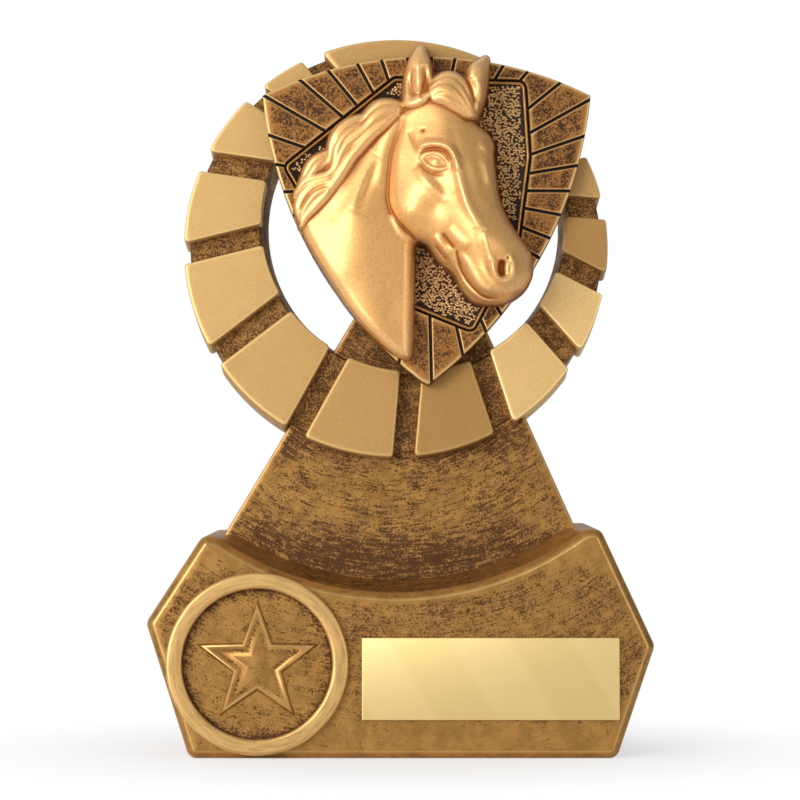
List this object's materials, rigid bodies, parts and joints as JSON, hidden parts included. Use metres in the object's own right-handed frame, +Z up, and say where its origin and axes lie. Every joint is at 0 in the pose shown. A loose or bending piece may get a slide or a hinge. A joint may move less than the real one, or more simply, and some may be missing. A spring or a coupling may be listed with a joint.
{
  "type": "horse trophy",
  "caption": "Small horse's-head trophy: a gold head on a shield, held by an open ring on a tapering stem and a faceted base with a star medallion and a bare plate.",
  "frame": {"origin": "on the underside, in the middle of the whole part's width and depth", "axes": "+Z up, the front with the horse faces -Y, +X is to the viewer's right"},
  "size_m": [0.0873, 0.0394, 0.1251],
  "materials": {
    "antique_gold": "cast resin with antique gold paint, a brown wash in the hollows and rubbed sandy gold on the raised blocks",
    "polished_gold": "cast resin with polished gold paint, a red-brown wash on the shield's tiles",
    "plate_gold": "thin satin gold plate"
  },
  "bodies": {
    "root": {"stand": "antique_gold", "horse_shield": "polished_gold", "engraving_plate": "plate_gold"}
  },
  "joints": []
}
